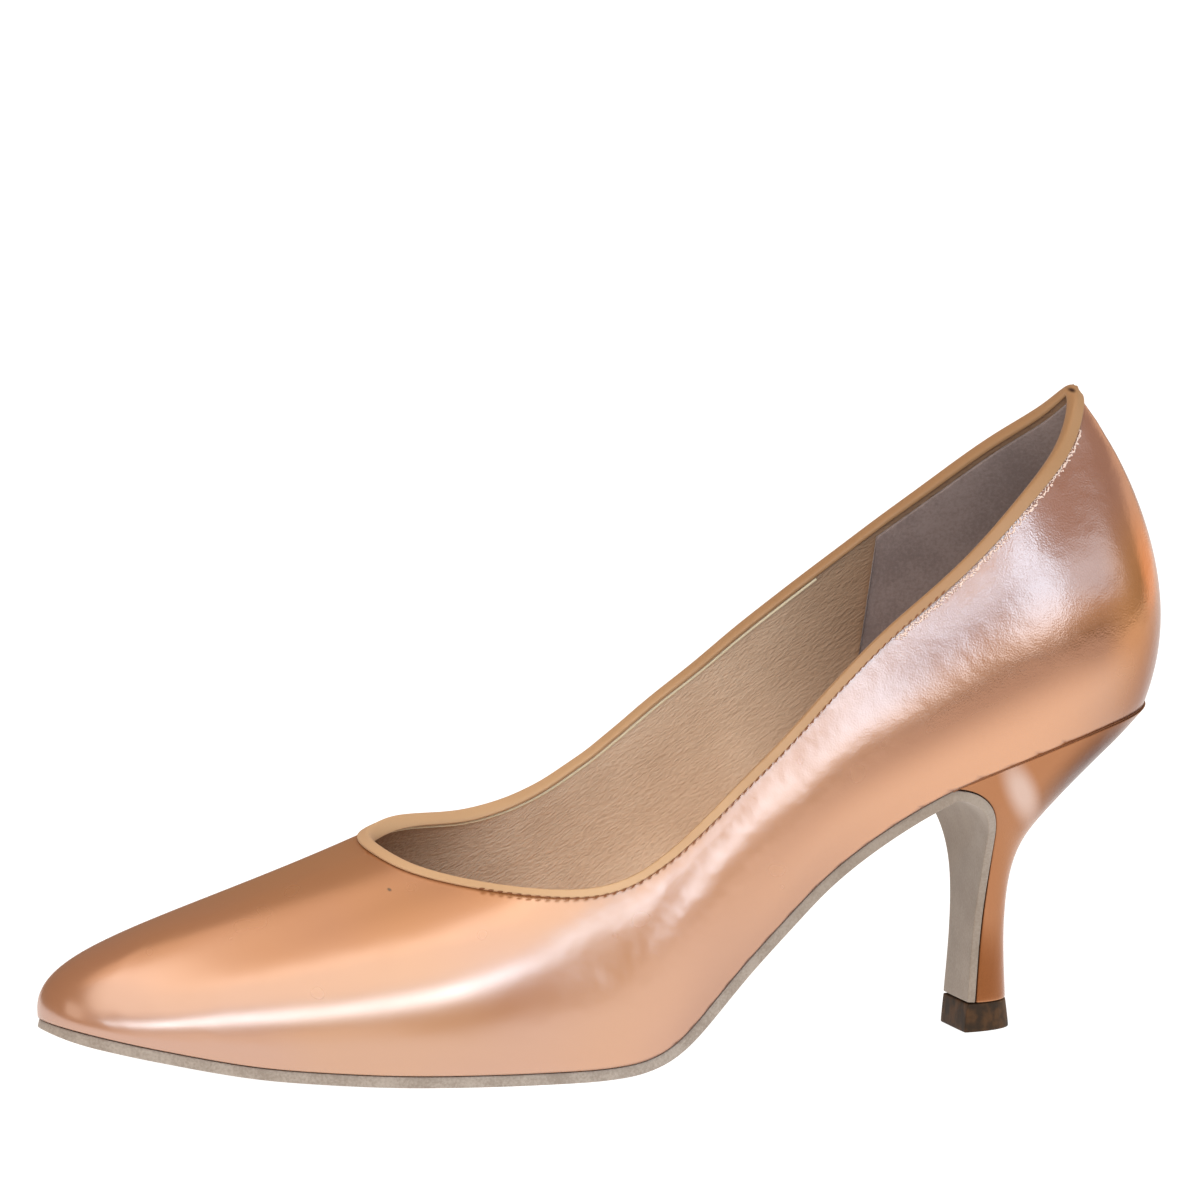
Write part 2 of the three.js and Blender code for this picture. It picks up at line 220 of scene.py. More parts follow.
# Patches: middle, climb, length, width, depth, colour. One is a pin mark left by the maker on the outer
# side of the vamp, the others are a painted highlight on the neck of the heel and a painted shade on the
# wing behind it.
PIN_MARK = ((-0.0515, -0.0128, 0.0383), 0.0, 1.2 * MM, 0.9 * MM, 4 * MM, shade(24, 12, 6))
PAINTED_NECK_HIGHLIGHT = ((0.0840, -0.021, 0.0525), math.radians(-56), 25 * MM, 9 * MM, 1.0, shade(208, 176, 160))
PAINTED_WING_SHADE = ((0.1020, -0.017, 0.0570), math.radians(42), 48 * MM, 20 * MM, 1.0, shade(90, 42, 8))
# Each set: dye, painted amber reflection, painted dusky shade, painted shade against the nap.
upper_dyes_and_painted_light = (SATIN_PEACH, PAINTED_AMBER_REFLECTION, PAINTED_DUSK_SHADE, PAINTED_BROWN_SHADE)
heel_dyes_and_painted_light = (HEEL_PEACH, HEEL_PEACH, HEEL_PEACH, HEEL_PAINTED_NAP_SHADE)
print("dyes:", len(upper_dyes_and_painted_light), "for the upper and", len(heel_dyes_and_painted_light), "for the heel")

# %% [markdown]
# The looks of the satin pass into each other along the shoe, up it, and with the way that the cloth
# faces. Each of these is a mask from 0 to 1, worked out from the place on the shoe or from the normal,
# so they stay on the shoe when it is seen from another side. Most of them lay painted shade or painted
# reflection into the colour.

# %% Where each look lies
# Spans along the shoe and up it, in metres, over which a mask rises.
FRONT_TO_BACK = (-0.01, 0.08)
ROUND_THE_BACK = (0.1, 0.116)
ABOVE_THE_SEAT = (0.064, 0.07)
UP_TO_THE_COLLAR = (0.095, 0.115)
# The painted amber reflection and the painted dusky shade come in over these spans.
INTO_AMBER = (-0.06, 0.08)
INTO_DUSK = (0.02, 0.07)
INTO_CRINKLES = (-0.045, 0.0)
# The painted brown shade lies where the normal points up by a twentieth, and fades out on both sides of
# that.
BAND_RISE = 0.05
BAND_FADE = (0.02, 0.2)
# The painted dusky shade lies where the normal points up by more than these, the dull one, also painted
# shade, along the nap.
DUSK_FADE = (0.1, 0.3)
NAP_FADE = (0.12, 0.85)


def satin_masks(finish, nap):
    """Masks by name. `nap` is the way that the cloth looks dullest and takes the most painted brown shade.
    """
    along = finish.part(finish.place, "X")
    level = finish.part(finish.place, "Z")
    facing = finish.node("ShaderNodeNewGeometry", {}, {}, "Normal")
    upward = finish.part(facing, "Z")
    rearward = finish.band(along, *FRONT_TO_BACK)
    behind = finish.band(along, *ROUND_THE_BACK) * finish.band(level, *ABOVE_THE_SEAT)
    behind = behind * (1.0 - finish.band(level, *UP_TO_THE_COLLAR))
    upright = 1.0 - finish.band(abs(upward - BAND_RISE), *BAND_FADE)
    dot = {"operation": "DOT_PRODUCT"}
    against = finish.node("ShaderNodeVectorMath", dot, {0: facing, 1: nap}, "Value")
    return {
        "rearward": rearward,
        "behind": behind,
        "upright": rearward * (1.0 - behind) * upright,
        "dull_and_shaded": finish.band(against, *NAP_FADE),
        "low": finish.band(along, *INTO_AMBER),
        "high": finish.band(along, *INTO_DUSK) * finish.band(upward, *DUSK_FADE),
        "bent": finish.band(along, *INTO_CRINKLES),
    }


print("the brown band comes up between x =", FRONT_TO_BACK[0], "and", FRONT_TO_BACK[1])

# %% [markdown]
# The recipe itself mixes the dye with its painted shade and reflections by their masks, lets the gloss
# turn metallic where the cloth stands upright, lies against its nap or turns round the back, and adds
# the bumps. The heel is covered in the same cloth, but with far less gloss.


# %% The satin finish
def satin(name, dyes_and_painted_light, nap, gloss, patches):
    finish = Finish(name, {"Sheen Weight": 0.05, **gloss})
    front, low_back, high_back, painted_nap_shade = dyes_and_painted_light
    masks = satin_masks(finish, nap)
    blush = finish.band(finish.noise(45 * MM, 1.0), 0.35, 0.65)
    dye_and_painted_light = finish.mixed(blush, front, SATIN_ROSE)
    # Painted amber reflection towards the back.
    dye_and_painted_light = finish.mixed(masks["low"], dye_and_painted_light, low_back)
    # Painted dusky shade where the back faces up.
    dye_and_painted_light = finish.mixed(masks["high"], dye_and_painted_light, high_back)
    # Painted brown shade in the band between the two lights.
    dye_and_painted_light = finish.mixed(0.75 * masks["upright"], dye_and_painted_light, PAINTED_BROWN_SHADE)
    # Painted gold reflection round the back.
    dye_and_painted_light = finish.mixed(masks["behind"], dye_and_painted_light, PAINTED_GOLD_REFLECTION)
    # Painted shade against the nap.
    dye_and_painted_light = finish.mixed(masks["dull_and_shaded"], dye_and_painted_light, painted_nap_shade)
    # On the heel the patches are a painted highlight and a painted shade.
    for *oval, colour in patches:
        dye_and_painted_light = finish.mixed(finish.patch(*oval), dye_and_painted_light, colour)
    finish.feed("Base Color", dye_and_painted_light)
    mirrors = 0.1 + 0.45 * masks["upright"] + 0.3 * masks["dull_and_shaded"] + 0.5 * masks["behind"]
    finish.feed("Metallic", mirrors)
    finish.feed("Roughness", 0.23 + 0.06 * finish.noise(9 * MM, 1.0))
    weave = masks["rearward"] * finish.noise(0.38 * MM, 0.0)
    crinkles = masks["bent"] * finish.noise(4 * MM, 1.0)
    waves = finish.noise(24 * MM, 1.0)
    steps = [(weave, 0.026 * MM), (crinkles, 0.1 * MM), (waves, 0.2 * MM)]
    finish.feed("Normal", finish.bumped(steps))
    return finish.material


FULL_GLOSS = {"IOR": 2.8, "Specular IOR Level": 0.5}
LOW_GLOSS = {"IOR": 1.5, "Specular IOR Level": 0.12}
UPPER_NAP = (0.8, 0.0, -0.6)
HEEL_NAP = (0.55, 0.0, -0.85)
satin_cloth = satin("satin", upper_dyes_and_painted_light, UPPER_NAP, FULL_GLOSS, [PIN_MARK])
heel_cloth = satin("heel_satin", heel_dyes_and_painted_light, HEEL_NAP, LOW_GLOSS, [PAINTED_WING_SHADE, PAINTED_NECK_HIGHLIGHT])
print("made", satin_cloth.name, heel_cloth.name)

# %% [markdown]
# ## The binding's leather
#
# The binding is smooth kid leather: almost even in colour, with a soft shine, and darker towards the
# heel, which is painted shade. Fine pores go into roughness and bump.

# %% The binding's finish
BINDING_TAN = shade(214, 174, 132)
BINDING_PAINTED_SHADE = shade(174, 132, 92)
# The two ends of the binding meet at the back of the heel, and the shade of the small gap between them
# is painted on as a dark patch.
BINDING_GAP = ((0.1023, 0.0, 0.1332), 0.0, 1.8 * MM, 1.3 * MM)
PAINTED_GAP_SHADE = shade(60, 32, 14)


def binding_leather():
    finish = Finish("binding_leather", {"Specular IOR Level": 0.45, "Sheen Weight": 0.1})
    blotch = finish.noise(12 * MM, 2.0)
    # Painted shade darkens the binding towards the heel, with a blotchy edge.
    painted_shade_and_wear = finish.band(finish.part(finish.place, "X") + 0.03 * blotch, -0.01, 0.08)
    dye_and_painted_light = finish.mixed(painted_shade_and_wear, BINDING_TAN, BINDING_PAINTED_SHADE)
    finish.feed("Base Color", finish.mixed(finish.patch(*BINDING_GAP), dye_and_painted_light, PAINTED_GAP_SHADE))
    pores = finish.noise(0.45 * MM, 2.0)
    finish.feed("Roughness", 0.42 + 0.15 * pores)
    finish.feed("Normal", finish.bumped([(pores, 0.03 * MM), (blotch, 0.1 * MM)]))
    return finish.material


binding_hide = binding_leather()
print("made", binding_hide.name)

# %% [markdown]
# ## The lining's leather
#
# The lining is thinner and wrinkles along the foot, most of all in the toe. Noise that is drawn out
# along the arch gives the wrinkles, and a slower one gives the pull of the last. Its tone varies at
# random and, as painted shade, a little with the wrinkles, and painted shade darkens it in the toe and
# beside the grip.

# %% The lining's finish
LINING_TAN = shade(244, 216, 188)
LINING_TAUPE = shade(222, 191, 162)
LINING_PAINTED_SHADE = shade(150, 118, 92)
# The wrinkles follow the slope of the arch.
ARCH_CLIMB = math.radians(34)


def lining_leather():
    finish = Finish("lining_leather", {"Specular IOR Level": 0.3})
    wrinkles = finish.noise(0.45 * MM, 1.0, 0.5, finish.drawn_out(ARCH_CLIMB, 3.0))
    pulls = finish.noise(3 * MM, 1.0, 0.5, finish.drawn_out(ARCH_CLIMB, 5.0))
    # Tone that varies at random, with a little painted shade that follows the wrinkles.
    painted_shade_and_wear = finish.band(0.3 * wrinkles + 0.7 * finish.noise(20 * MM, 1.0), 0.25, 0.75)
    along = finish.part(finish.place, "X")
    # Painted shade in the toe and beside the grip.
    painted_shade_ends = finish.band(along, -0.052, -0.008) * (1.0 - finish.band(along, 0.026, 0.075))
    dye_and_painted_light = finish.mixed(painted_shade_and_wear, LINING_TAUPE, LINING_TAN)
    finish.feed("Base Color", finish.mixed(painted_shade_ends, LINING_PAINTED_SHADE, dye_and_painted_light))
    finish.feed("Roughness", 0.65 - 0.15 * wrinkles)
    creased = wrinkles * (1.0 - 0.35 * finish.band(along, -0.03, 0.01))
    finish.feed("Normal", finish.bumped([(creased, 0.42 * MM), (pulls, 0.2 * MM)]))
    return finish.material


lining_hide = lining_leather()
print("made", lining_hide.name)

# %% [markdown]
# ## Suedes
#
# Suede has no shine at all. Its nap is broken up by two sizes of noise, rubbed places are lighter, and
# a little sheen softens it at the edges. The rear of the sole is browner, partly from painted shade
# under the arch and partly from the remains of a printed mark.

# %% The suede finishes
GRIP_MAUVE = shade(166, 146, 140)
GRIP_GREY = shade(120, 103, 99)
GRIP_REAR = shade(146, 128, 122)
SOLE_PALE = shade(176, 162, 149)
SOLE_GREY = shade(148, 133, 120)
# Painted shade under the arch, with the remains of a printed mark, makes the rear of the sole browner.
SOLE_REAR = shade(140, 121, 103)


def suede(name, light, dark, rear, nap, height):
    finish = Finish(name, {"Specular IOR Level": 0.1, "Sheen Weight": 0.3, "Sheen Roughness": 0.6})
    fibres = finish.noise(nap, 3.0, 0.65)
    rubbed = finish.noise(nap * 14, 2.0)
    share = finish.band(0.55 * fibres + 0.45 * rubbed, 0.36, 0.64)
    # Towards the rear half the colour turns to `rear`; on the sole that is painted shade under the arch.
    rearward = finish.band(finish.part(finish.place, "X"), 0.0, 0.05)
    dye_and_painted_light = finish.mixed(share, dark, light)
    finish.feed("Base Color", finish.mixed(0.5 * rearward, dye_and_painted_light, rear))
    finish.feed("Roughness", 0.85 + 0.1 * fibres)
    finish.feed("Normal", finish.bumped([(fibres, height)]))
    return finish.material


grip_nap = suede("grip_suede", GRIP_MAUVE, GRIP_GREY, GRIP_REAR, 0.7 * MM, 0.1 * MM)
sole_nap = suede("sole_suede", SOLE_PALE, SOLE_GREY, SOLE_REAR, 0.55 * MM, 0.08 * MM)
print("made", grip_nap.name, sole_nap.name)

# %% [markdown]
# ## Top piece and thread
#
# The top piece is a hard brown moulding with faint upright scratches, which a noise drawn out upwards
# gives. Thread is dull and a little uneven: waxed brown for the stitches, and bare pale satin ends for
# the fray.

# %% The top piece and the thread
TOP_BROWN = shade(80, 52, 26)
TOP_DARK = shade(48, 32, 16)
THREAD_PALER = 1.25


def top_piece_finish():
    finish = Finish("top_piece", {"Specular IOR Level": 0.25})
    mottle = finish.noise(3 * MM, 3.0)
    finish.feed("Base Color", finish.mixed(finish.band(mottle, 0.35, 0.65), TOP_DARK, TOP_BROWN))
    scuffs = finish.noise(0.6 * MM, 2.0, 0.5, finish.drawn_out(0.5 * math.pi, 5.0))
    finish.feed("Roughness", 0.5 + 0.2 * scuffs)
    finish.feed("Normal", finish.bumped([(scuffs, 0.03 * MM)]))
    return finish.material


def thread(name, colour):
    finish = Finish(name, {"Roughness": 0.7})
    twist = finish.noise(0.4 * MM, 1.0)
    pale = tuple(min(1.0, value * THREAD_PALER) for value in colour[:3]) + (1.0,)
    finish.feed("Base Color", finish.mixed(twist, colour, pale))
    return finish.material


top_brown = top_piece_finish()
stitch_thread = thread("stitch_thread", shade(128, 78, 44))
fray_thread = thread("fray_thread", shade(234, 208, 194))
print("made", top_brown.name, stitch_thread.name, fray_thread.name)

# %% [markdown]
# ## Smooth copies of the solids
#
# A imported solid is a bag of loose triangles. A copy is merged, its triangle pairs become quads, and
# its corners either get a small bevel or are held by a crease, so that subdivision rounds the
# surface and leaves the edges where they are.


# %% Copy, smooth and settle
CORNER = math.radians(48)
MERGE_WITHIN = 0.002 * MM
FLAT_WITHIN = math.radians(60)
SQUARE_WITHIN = math.radians(120)


def corner_edges(bm):
    return [e for e in bm.edges if len(e.link_faces) == 2 and e.calc_face_angle() > CORNER]


def quads_of(node):
    bm = bmesh.new()
    bm.from_mesh(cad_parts[node].data)
    bmesh.ops.remove_doubles(bm, verts=bm.verts, dist=MERGE_WITHIN)
    bmesh.ops.join_triangles(
        bm,
        faces=bm.faces,
        angle_face_threshold=FLAT_WITHIN,
        angle_shape_threshold=SQUARE_WITHIN,
    )
    return bm


def piece_from(bm, name, material, levels):
    mesh = bpy.data.meshes.new(name)
    bm.to_mesh(mesh)
    bm.free()
    piece = bpy.data.objects.new(name, mesh)
    scene.collection.objects.link(piece)
    mesh.materials.append(material)
    if levels:
        smoother = piece.modifiers.new("smooth", "SUBSURF")
        smoother.levels = levels
        smoother.render_levels = levels
        settled = bpy.data.meshes.new_from_object(piece.evaluated_get(bpy.context.evaluated_depsgraph_get()))
        piece.modifiers.clear()
        piece.data = settled
        settled.name = name
    finish_shading(piece)
    return piece


def finish_shading(piece):
    piece.data.shade_smooth()
    piece.data.set_sharp_from_angle(angle=CORNER)


def dressed(node, name, material, levels, bevel, swell=0.0):
    """A smooth piece that stands for a solid. Swelling takes up part of the gap that solids keep."""
    bm = quads_of(node)
    bm.normal_update()
    for vertex in bm.verts:
        vertex.co += vertex.normal * swell
    if bevel:
        bmesh.ops.bevel(
            bm,
            geom=corner_edges(bm),
            offset=bevel,
            offset_type="OFFSET",
            affect="EDGES",
            segments=2,
            profile=0.5,
            material=-1,
        )
    else:
        crease = bm.edges.layers.float.new("crease_edge")
        for edge in corner_edges(bm):
            edge[crease] = 1.0
    piece = piece_from(bm, name, material, levels)
    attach(piece, "root")
    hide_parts(node)
    print(name, "stands for", node, "with", len(piece.data.polygons), "faces")
    return piece


print("an edge is a corner from", round(math.degrees(CORNER)), "degrees on")

# %% [markdown]
# ## The upper
#
# The satin is pulled over a wooden last, so it is taut nearly everywhere. A few soft hollows are left
# where the foot bends it, low on the outer side behind the ball, and under the topline at the back.
# Each one is a line on the side of the shoe, with a width and a depth, and the wall moves in by a
# bell curve of the distance from it.

# %% Dress the upper
# Each hollow: start and end as (x, z) on the side view, width, depth, and the side it is on.
HOLLOWS = [
    {"start": (-0.024, 0.030), "end": (-0.010, 0.022), "width": 0.006, "depth": 0.12 * MM, "side": -1},
    {"start": (0.052, 0.078), "end": (0.086, 0.092), "width": 0.008, "depth": 0.2 * MM, "side": -1},
    {"start": (0.066, 0.086), "end": (0.100, 0.104), "width": 0.007, "depth": -0.15 * MM, "side": -1},
    {"start": (-0.010, 0.036), "end": (0.010, 0.020), "width": 0.008, "depth": 0.25 * MM, "side": 1},
    {"start": (0.050, 0.080), "end": (0.084, 0.094), "width": 0.008, "depth": 0.25 * MM, "side": 1},
]


def distance_to_line(x, z, start, end):
    run = (end[0] - start[0], end[1] - start[1])
    reach = ((x - start[0]) * run[0] + (z - start[1]) * run[1]) / (run[0] ** 2 + run[1] ** 2)
    reach = min(max(reach, 0.0), 1.0)
    return math.hypot(x - start[0] - reach * run[0], z - start[1] - reach * run[1])


def press_hollows(piece):
    for vertex in piece.data.vertices:
        for hollow in HOLLOWS:
            if vertex.co.y * hollow["side"] > 0:
                away = distance_to_line(vertex.co.x, vertex.co.z, hollow["start"], hollow["end"])
                push = hollow["depth"] * math.exp(-((away / hollow["width"]) ** 2))
                vertex.co.y -= hollow["side"] * push


upper = dressed("upper", "satin_upper", satin_cloth, levels=2, bevel=0)
press_hollows(upper)

# %% [markdown]
# ## The lining
#
# The lining is glued to the inside of the wall. A copy of the upper is cut at its corners, which
# leaves four sheets: the largest is the outside, the next is the inside, and the narrow ones are the
# edges. The inside sheet is lifted a hair off the wall and given its own thickness.

# %% Line the inside
LINING_LIFT = 0.06 * MM
LINING_THICKNESS = 0.12 * MM
OUTSIDE = 0
INSIDE = 1


def sheets_by_area(bm):
    bmesh.ops.split_edges(bm, edges=corner_edges(bm))
    waiting = set(bm.faces)
    sheets = []
    for first in bm.faces:
        front = [first] if first in waiting else []
        waiting.discard(first)
        sheet = []
        while front:
            face = front.pop()
            sheet.append(face)
            near = {other for edge in face.edges for other in edge.link_faces} & waiting
            waiting -= near
            front.extend(near)
        sheets.append(sheet)
    return sorted(sheets, key=lambda sheet: sum(face.calc_area() for face in sheet), reverse=True)


def side_of_upper(which):
    bm = bmesh.new()
    bm.from_mesh(upper.data)
    kept = set(sheets_by_area(bm)[which])
    bmesh.ops.delete(bm, geom=[face for face in bm.faces if face not in kept], context="FACES")
    bm.normal_update()
    return bm


def line_inside():
    bm = side_of_upper(INSIDE)
    for vertex in bm.verts:
        vertex.co += vertex.normal * (LINING_LIFT + LINING_THICKNESS)
    bmesh.ops.solidify(bm, geom=bm.faces, thickness=LINING_THICKNESS)
    piece = piece_from(bm, "lining", lining_hide, 0)
    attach(piece, "root")
    return piece


lining = line_inside()
print("lining has", len(lining.data.polygons), "faces")

# %% [markdown]
# ## The other solids
#
# The binding is rolled leather, so it is only subdivided. Board, sole and heel have cut edges, so
# they get a small bevel first.

# %% Dress the rest
dressed("topline_binding", "binding", binding_hide, levels=2, bevel=0)
dressed("heel_grip", "suede_grip", grip_nap, levels=2, bevel=0.15 * MM)
dressed("insole", "sock", lining_hide, levels=1, bevel=0.3 * MM)
dressed("outsole", "suede_sole", sole_nap, levels=2, bevel=0.25 * MM, swell=0.12 * MM)
dressed("heel", "satin_heel", heel_cloth, levels=2, bevel=0.3 * MM, swell=0.12 * MM)
dressed("top_piece", "heel_lift", top_brown, levels=2, bevel=0.3 * MM, swell=0.1 * MM)

# %% [markdown]
# ## Finding the edges
#
# Stitches, frays and cords all run along an edge of the upper. A sheet has two border loops: the upper
# one is the topline, the lower one is where the wall meets the sole. Each loop is walked once, and
# anything that has to sit a little below it is dropped along the sheet.


# %% Walk the borders of a sheet
def borders_of(bm):
    border = [edge for edge in bm.edges if edge.is_boundary]
    waiting = set(border)
    loops = []
    for edge in border:
        if edge in waiting:
            waiting.remove(edge)
            loop = [edge.verts[0], edge.verts[1]]
            while loop[-1] is not loop[0]:
                step = next(e for e in loop[-1].link_edges if e in waiting)
                waiting.remove(step)
                loop.append(step.other_vert(loop[-1]))
            loops.append([vertex.co.copy() for vertex in loop])
    return sorted(loops, key=lambda loop: sum(place.z for place in loop) / len(loop))


def evenly(points, pitch):
    """Points a pitch apart along a chain, each with the direction of travel."""
    places = []
    left = pitch / 2
    for start, end in zip(points, points[1:]):
        step = end - start
        while left < step.length:
            places.append((start + step.normalized() * left, step.normalized()))
            left += pitch
        left -= step.length
    return places


def dropped(skin, place, along, drop):
    """The place on the sheet that lies a drop below its edge, with the way out of the sheet."""
    _, out, _, _ = skin.find_nearest(place)
    down = out.cross(along).normalized()
    if down.z > 0:
        down = -down
    foot, out, _, _ = skin.find_nearest(place + down * drop)
    return foot, out


outside = side_of_upper(OUTSIDE)
outside_skin = BVHTree.FromBMesh(outside)
sole_line, topline = borders_of(outside)
outside.free()
inside = side_of_upper(INSIDE)
inside_skin = BVHTree.FromBMesh(inside)
inner_topline = borders_of(inside)[-1]
inside.free()
print("topline:", round(sum((b - a).length for a, b in zip(topline, topline[1:])) / MM), "mm")

# %% [markdown]
# ## Stitches and the frayed edge
#
# A row of brown stitches runs along the lower edge of the binding, up to the quarter. Each stitch is one
# flattened ball. Towards the back, the cut edge of the satin peeps out under the binding as a pale
# fray: the same ball, smaller, crowded and twisted at random from a fixed seed. It stops short of the
# peak at the back.

# %% Set the stitches
BINDING_REACH = 2.3 * MM
STITCH_PITCH = 1.9 * MM
STITCH = {"long": 1.4 * MM, "wide": 0.36 * MM, "tall": 0.5 * MM}
STITCH_RAISE = 0.45 * MM
STITCH_OUT = 0.85 * MM
STITCH_SLANT = 0.2
STITCH_FROM_X = -0.034
STITCH_TO_X = 0.066
FRAY = {"long": 0.7 * MM, "wide": 0.36 * MM, "tall": 0.4 * MM}
FRAY_PITCH = 0.2 * MM
FRAY_DROP = 1.0 * MM
FRAY_OUT = 0.2 * MM
FRAY_TWIST = 1.2
FRAY_SIZES = (0.6, 1.25)
FRAY_FROM_X = 0.054
FRAY_FROM_BACK = 5 * MM


def bead(bm, place, along, out, size):
    side = out.cross(along).normalized()
    out = along.cross(side)
    turn = Matrix((along, side, out)).transposed().to_4x4()
    grow = Matrix.Diagonal((size["long"] / 2, size["wide"] / 2, size["tall"] / 2, 1.0))
    bmesh.ops.create_uvsphere(
        bm, u_segments=6, v_segments=4, radius=1.0, matrix=Matrix.Translation(place) @ turn @ grow
    )


def stitch_row():
    bm = bmesh.new()
    for place, along in evenly(topline, STITCH_PITCH):
        if STITCH_FROM_X < place.x < STITCH_TO_X:
            foot, out = dropped(outside_skin, place, along, BINDING_REACH - STITCH_RAISE)
            slant = Matrix.Rotation(STITCH_SLANT, 3, out)
            bead(bm, foot + out * STITCH_OUT, slant @ along, out, STITCH)
    return piece_from(bm, "stitches", stitch_thread, 0)


def frayed_edge():
    bm = bmesh.new()
    draw = random.Random(7)
    for place, along in evenly(topline, FRAY_PITCH):
        if place.x > FRAY_FROM_X and abs(place.y) > FRAY_FROM_BACK:
            drop = BINDING_REACH + draw.uniform(0.0, FRAY_DROP)
            foot, out = dropped(outside_skin, place, along, drop)
            twist = Matrix.Rotation(draw.uniform(-FRAY_TWIST, FRAY_TWIST), 3, out)
            size = {name: value * draw.uniform(*FRAY_SIZES) for name, value in FRAY.items()}
            bead(bm, foot + out * FRAY_OUT, twist @ along, out, size)
    return piece_from(bm, "frayed_edge", fray_thread, 0)


for piece in (stitch_row(), frayed_edge()):
    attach(piece, "root")
    print(piece.name, "has", len(piece.data.polygons), "faces")

# %% [markdown]
# ## Two cords
#
# Inside, the lining is turned under itself and shows a pale cord right below the binding. Outside, the
# cover of the heel is tucked in where it meets the upper, which leaves a thin brown seam. A curve with
# a round bevel is the quickest cord for both.

# %% Run the cords
CORD_RADIUS = 0.3 * MM
CORD_PITCH = 2.5 * MM
CORD_DROP = 1.25 * MM
CORD_TO_X = 0.056
SEAM_RADIUS = 0.18 * MM
SEAM_INSET = 0.2 * MM
SEAM_DROP = 0.12 * MM
SEAM_FROM_X = 0.066


def opened(loop, end):
    """The loop without its repeated last point, cut open at the place with the smallest end value."""
    loop = loop[:-1]
    cut = min(range(len(loop)), key=lambda i: end(loop[i]))
    return loop[cut:] + loop[:cut]


def cord_along(points, name, radius, material):
    curve = bpy.data.curves.new(name, "CURVE")
    curve.dimensions = "3D"
    curve.bevel_depth = radius
    curve.bevel_resolution = 1
    curve.use_fill_caps = True
    line = curve.splines.new("POLY")
    line.points.add(len(points) - 1)
    for point, place in zip(line.points, points):
        point.co = (*place, 1.0)
    guide = bpy.data.objects.new(name, curve)
    scene.collection.objects.link(guide)
    mesh = bpy.data.meshes.new_from_object(guide.evaluated_get(bpy.context.evaluated_depsgraph_get()))
    bpy.data.objects.remove(guide)
    bpy.data.curves.remove(curve)
    bm = bmesh.new()
    bm.from_mesh(mesh)
    bpy.data.meshes.remove(mesh)
    return piece_from(bm, name, material, 0)


def lining_edge():
    points = []
    for place, along in evenly(opened(inner_topline, lambda place: -place.x), CORD_PITCH):
        if place.x < CORD_TO_X:
            foot, out = dropped(inside_skin, place, along, CORD_DROP)
            points.append(foot + out * CORD_RADIUS)
    return cord_along(points, "lining_edge", CORD_RADIUS, cord_hide)


def heel_seam():
    points = []
    for place in opened(sole_line, lambda place: place.x):
        if place.x > SEAM_FROM_X:
            _, out, _, _ = outside_skin.find_nearest(place)
            level = Vector((out.x, out.y, 0.0)).normalized()
            points.append(place - level * SEAM_INSET - Vector((0.0, 0.0, SEAM_DROP)))
    return cord_along(points, "heel_seam", SEAM_RADIUS, seam_thread)


cord_hide = thread("cord_leather", shade(244, 222, 188))
seam_thread = thread("seam_thread", shade(132, 80, 46))
for piece, slot in ((lining_edge(), "lining_leather"), (heel_seam(), "satin")):
    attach(piece, "root")
    print(piece.name, "has", len(piece.data.polygons), "faces")

# %% [markdown]
# ## Floor
#
# The shoe stands on a wide white table. It mirrors in the lower half of the satin and fills it with
# peach, and it is bright enough that the shoe casts next to no shadow on it.

# %% The floor
FLOOR_SIZE = 12.0
# The table is lit from below as well, which keeps the picture's ground white.
FLOOR_GLOW = 0.94


def pale_floor():
    glow = {"Emission Color": (1.0, 1.0, 1.0, 1.0), "Emission Strength": FLOOR_GLOW}
    finish = Finish("floor", {"Roughness": 0.9, "Specular IOR Level": 0.1, **glow})
    finish.feed("Base Color", finish.mixed(finish.noise(0.6), shade(164, 166, 168), shade(158, 160, 162)))
    bm = bmesh.new()
    bmesh.ops.create_grid(bm, x_segments=1, y_segments=1, size=FLOOR_SIZE)
    piece = piece_from(bm, "floor", finish.material, 0)


pale_floor()
print("floor is", 2 * FLOOR_SIZE, "m wide")

# %% [markdown]
# ## Lights
#
# Satin shows the room that it stands in. Each white streak is the mirror image of a window, so the
# windows stand side by side on an arc around the outer side of the shoe, at the heights where the
# streaks ask for them. Peach walls above and beside them, an amber ceiling and an amber card behind
# the heel tint the satin between the streaks. The inner side, away from the windows, gets a fill.

# %% The lights
SHOE_MIDDLE = Vector((0.0, 0.0, 0.05))
STUDIO_DISTANCE = 2.2
CEILING_DISTANCE = 2.4
WORLD_COLOUR = (1.0, 0.8, 0.6, 1.0)
WORLD_STRENGTH = 0.2


def soft_box(name, turn, rise, size, power, colour, away=STUDIO_DISTANCE, roll=0):
    """A soft light. It is turned from the outer side towards the heel, raised, and aimed at the shoe."""
    turn = math.radians(turn)
    rise = math.radians(rise)
    level = math.cos(rise)
    data = bpy.data.lights.new(name, "AREA")
    data.shape = "RECTANGLE"
    data.size, data.size_y = size
    data.energy = power
    data.color = colour
    light = bpy.data.objects.new(name, data)
    ray = Vector((math.sin(turn) * level, -math.cos(turn) * level, math.sin(rise)))
    light.location = SHOE_MIDDLE + ray * away
    aim = (-ray).to_track_quat("-Z", "Y").to_matrix()
    light.rotation_euler = (aim @ Matrix.Rotation(math.radians(roll), 3, "Z")).to_euler()
    scene.collection.objects.link(light)
    return light


SKY = (0.78, 0.91, 1.0)
COLD_SKY = (0.68, 0.88, 1.06)
PEACH_WALL = (1.0, 0.85, 0.72)
AMBER_WALL = (1.0, 0.58, 0.34)
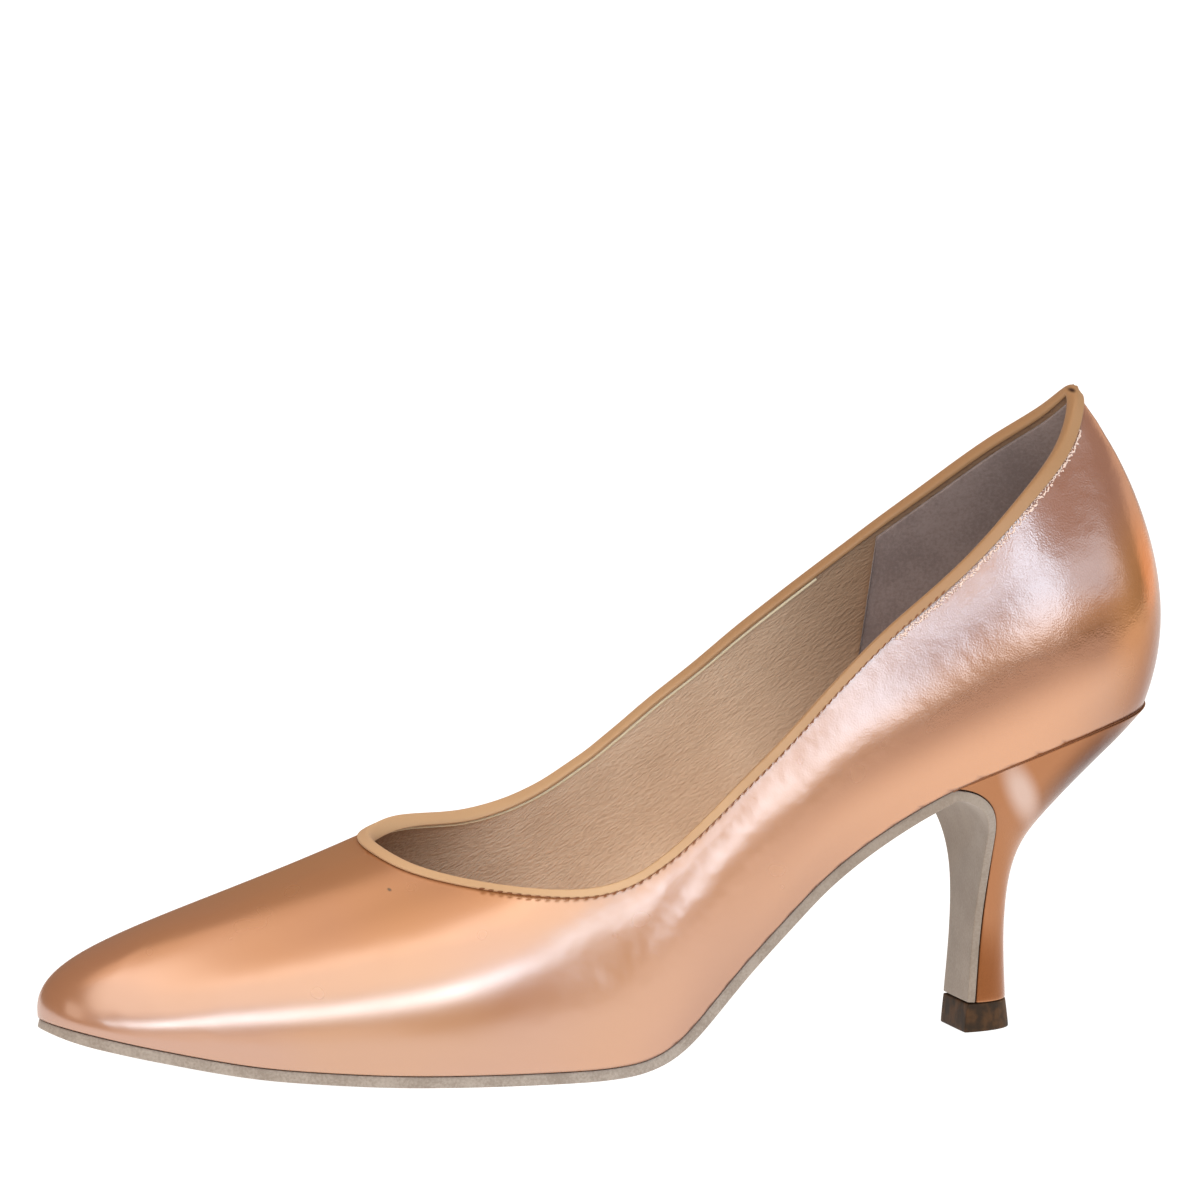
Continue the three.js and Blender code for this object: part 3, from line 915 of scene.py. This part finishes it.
# Each light: its name, turn and rise in degrees, width and height, power and colour.
lights = [
    soft_box("tip_window", -34, 21, (0.35, 0.24), 2.7, SKY),
    soft_box("toe_window", -22, 26, (0.75, 0.38), 5.4, SKY),
    soft_box("near_window", -6, 28.5, (0.66, 0.24), 4.0, COLD_SKY),
    soft_box("side_window", 24, 19.5, (0.64, 0.92), 8.2, COLD_SKY, roll=10),
    soft_box("high_window", 16, 37, (0.5, 0.36), 3.6, COLD_SKY),
    soft_box("back_window", 55, 23, (1.5, 0.65), 4.6, SKY),
    soft_box("low_card", -29, 4, (0.9, 0.35), 1.2, PEACH_WALL),
    soft_box("upper_wall", -24, 55, (1.6, 1.45), 15.0, PEACH_WALL),
    soft_box("ceiling", -50, 77, (1.6, 1.1), 7.0, AMBER_WALL, away=CEILING_DISTANCE),
    soft_box("amber_card", 118, 6, (1.2, 0.9), 4.0, AMBER_WALL),
    soft_box("fill", -70, 25, (1.0, 1.0), 3.0, PEACH_WALL),
]
# The fill for the inner side doesn't mirror in the satin.
inner_fill = soft_box("inner_fill", 165, 38, (1.8, 1.4), 14.0, PEACH_WALL)
inner_fill.visible_glossy = False
lights.append(inner_fill)
scene.world = bpy.data.worlds.new("studio")
scene.world.use_nodes = True
background = scene.world.node_tree.nodes["Background"]
background.inputs["Color"].default_value = WORLD_COLOUR
background.inputs["Strength"].default_value = WORLD_STRENGTH
scene.view_settings.view_transform = "Standard"
print("lights:", ", ".join(light.name for light in lights))

# %% [markdown]
# ## Camera
#
# The camera stands well back with a long lens, so the shoe hardly shrinks towards the heel. It looks
# at the outer side, a little from the toe end and a little from above.

# %% The camera
CAMERA_TURN = math.radians(20)
CAMERA_RISE = math.radians(10)
CAMERA_DISTANCE = 4.0
LENS = 576.0
SENSOR = 36.0
FAR_END = 50.0
# The near corner of the heel tip, which the camera faces, and the middle of the picture.
tip_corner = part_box("top_piece")[0]
FACED = Vector((tip_corner[0], tip_corner[1], 0.0))
PICTURE_MIDDLE = Vector((0.0104, 0.0344, 0.0886))


def long_lens_camera():
    level = math.cos(CAMERA_RISE)
    ahead = Vector((math.sin(CAMERA_TURN) * level, math.cos(CAMERA_TURN) * level, -math.sin(CAMERA_RISE)))
    data = bpy.data.cameras.new("camera")
    data.lens = LENS
    data.sensor_width = SENSOR
    data.clip_end = FAR_END
    camera = bpy.data.objects.new("camera", data)
    camera.location = FACED - ahead * CAMERA_DISTANCE
    camera.rotation_euler = (PICTURE_MIDDLE - camera.location).to_track_quat("-Z", "Y").to_euler()
    scene.collection.objects.link(camera)
    scene.camera = camera
    return camera


camera = long_lens_camera()
print("camera at", [round(part, 3) for part in camera.location])

# %% [markdown]
# ## The end

# %% The end
print("the shoe is dressed")
